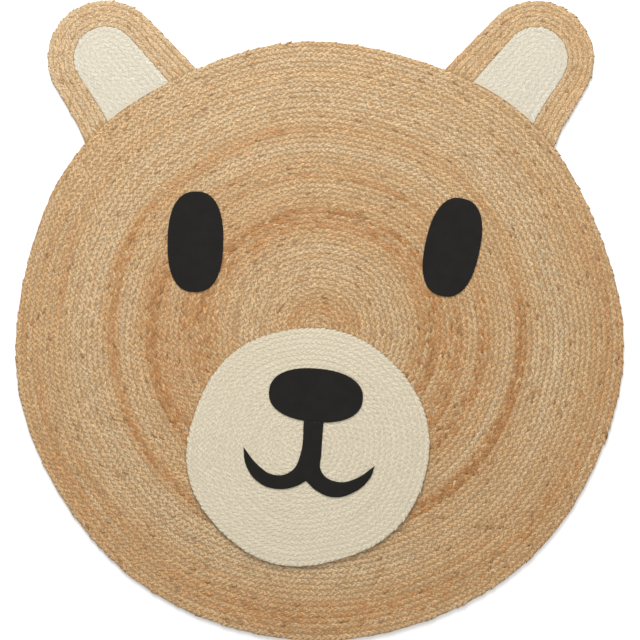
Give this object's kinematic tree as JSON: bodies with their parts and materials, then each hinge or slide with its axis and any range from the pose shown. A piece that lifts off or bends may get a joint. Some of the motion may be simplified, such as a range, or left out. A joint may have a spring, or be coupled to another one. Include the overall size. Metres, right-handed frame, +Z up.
{
  "type": "bear-shaped rug",
  "caption": "Flat bear's-head rug of spiral-sewn jute braid, with cream braid muzzle and inner ears and black felt eyes, nose and mouth.",
  "frame": {"origin": "middle of the round head, on the floor side of the rug", "axes": "+Z up out of the rug's face, +Y towards the ears, +X to the bear's left, which is the right side seen from above"},
  "size_m": [1.0018, 1.0546, 0.0156],
  "materials": {
    "jute_braid": "matte plaited jute, tan with rust and pale streaks",
    "cream_braid_muzzle": "matte cream braid",
    "cream_braid_ears": "matte pale cream braid",
    "black_felt": "matte black felt, cut edges"
  },
  "bodies": {
    "root": {"head": "jute_braid", "ear_left": "jute_braid", "ear_right": "jute_braid", "inner_ear_left": "cream_braid_ears", "inner_ear_right": "cream_braid_ears", "muzzle": "cream_braid_muzzle", "eye_left": "black_felt", "eye_right": "black_felt", "nose": "black_felt", "mouth": "black_felt"}
  },
  "joints": []
}
